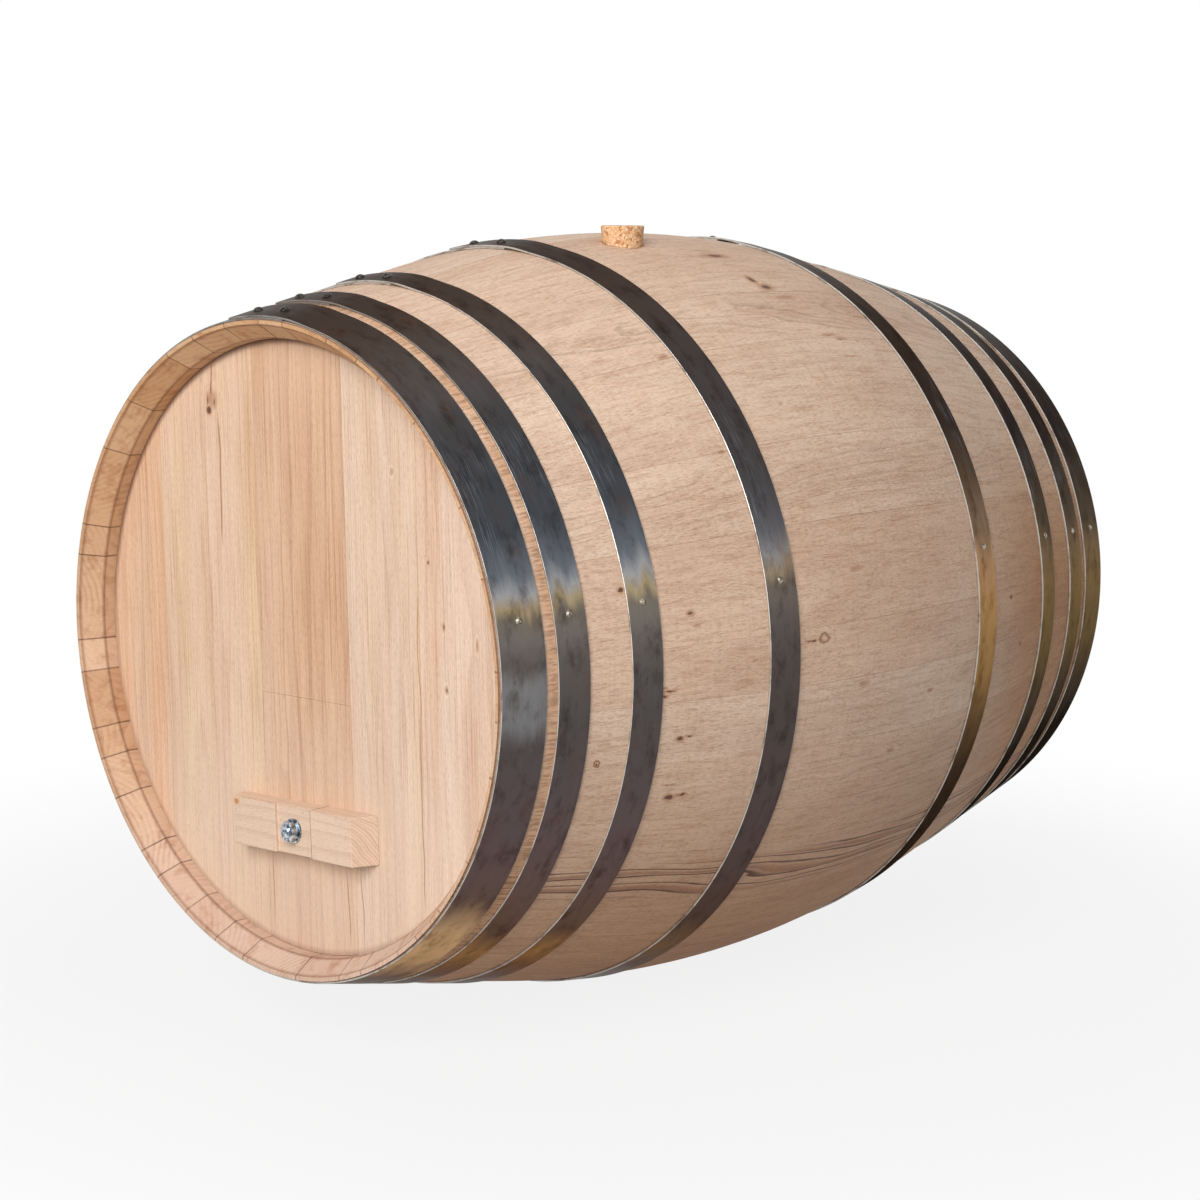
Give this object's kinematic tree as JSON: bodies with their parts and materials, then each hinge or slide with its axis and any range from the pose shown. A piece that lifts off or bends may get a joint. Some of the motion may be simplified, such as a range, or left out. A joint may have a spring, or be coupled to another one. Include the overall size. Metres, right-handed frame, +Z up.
{
  "type": "wooden barrel",
  "caption": "Wooden barrel lying on its belly: bowed staves in riveted steel hoops, a tapered cork bung on top and, low in the front head, a hatch held by a bolted crossbar.",
  "frame": {"origin": "lowest point of the belly, under the middle of the barrel", "axes": "+Y along the barrel from its front head to its rear head, +Z up through the bung side, +X to the right seen from the front"},
  "size_m": [0.7898, 0.945, 0.7989],
  "materials": {
    "stave_wood": "planed pale chestnut, unfinished, with saw marks and small knots",
    "head_wood": "planed warm chestnut boards, unfinished",
    "bar_wood": "planed chestnut, unfinished",
    "hoop_steel": "dark blued strip steel, satin, browned in places",
    "zinc_steel": "bright zinc plate",
    "cork": "agglomerated cork, matt"
  },
  "bodies": {
    "barrel": {"stave_1": "stave_wood", "stave_2": "stave_wood", "stave_3": "stave_wood", "stave_4": "stave_wood", "stave_5": "stave_wood", "stave_6": "stave_wood", "stave_7": "stave_wood", "stave_8": "stave_wood", "stave_9": "stave_wood", "stave_10": "stave_wood", "stave_11": "stave_wood", "stave_12": "stave_wood", "stave_13": "stave_wood", "stave_14": "stave_wood", "stave_15": "stave_wood", "stave_16": "stave_wood", "stave_17": "stave_wood", "stave_18": "stave_wood", "stave_19": "stave_wood", "stave_20": "stave_wood", "stave_21": "stave_wood", "stave_22": "stave_wood", "stave_23": "stave_wood", "stave_24": "stave_wood", "stave_25": "stave_wood", "stave_26": "stave_wood", "stave_27": "stave_wood", "stave_28": "stave_wood", "stave_29": "stave_wood", "stave_30": "stave_wood", "stave_31": "stave_wood", "stave_32": "stave_wood", "stave_33": "stave_wood", "stave_34": "stave_wood", "stave_35": "stave_wood", "stave_36": "stave_wood", "front_head_hoop": "hoop_steel", "front_collar_hoop": "hoop_steel", "front_quarter_hoop": "hoop_steel", "front_bilge_hoop": "hoop_steel", "rear_head_hoop": "hoop_steel", "rear_collar_hoop": "hoop_steel", "rear_quarter_hoop": "hoop_steel", "rear_bilge_hoop": "hoop_steel", "front_head_board_1": "head_wood", "front_head_board_2": "head_wood", "front_head_board_3": "head_wood", "front_head_board_4": "head_wood", "front_head_board_5": "head_wood", "rear_head_boards": "head_wood", "head_dowels": "bar_wood", "hoop_rivets": "hoop_steel", "hoop_nails": "hoop_steel"},
    "hatch": {"hatch_door": "head_wood", "hatch_plate": "zinc_steel", "hatch_bolt": "zinc_steel"},
    "crossbar": {"crossbar": "bar_wood"},
    "washer": {"hatch_washer": "zinc_steel"},
    "nut": {"hatch_nut": "zinc_steel"},
    "bung": {"bung": "cork"}
  },
  "joints": [
    {"name": "bung_pull", "type": "slide", "parent": "barrel", "child": "bung", "axis": [0, 0, 1], "range_m": [0, 0.06]},
    {"name": "hatch_push", "type": "slide", "parent": "barrel", "child": "hatch", "axis": [0, 1, 0], "range_m": [0, 0.1]},
    {"name": "crossbar_swivel", "type": "hinge", "parent": "barrel", "child": "crossbar", "pos_m": [0.01535, -0.45, 0.22136], "axis": [0, 1, 0], "range_deg": [-90, 90]},
    {"name": "washer_slide", "type": "slide", "parent": "crossbar", "child": "washer", "axis": [0, -1, 0], "range_m": [0, 0.0105]},
    {"name": "nut_spin", "type": "hinge", "parent": "washer", "child": "nut", "pos_m": [0.01535, -0.46, 0.22136], "axis": [0, -1, 0], "range_deg": [0, 2160]}
  ],
  "couplings": [
    {"joint": "washer_slide", "follows": "nut_spin", "m_per_rad": 0.00027852}
  ]
}
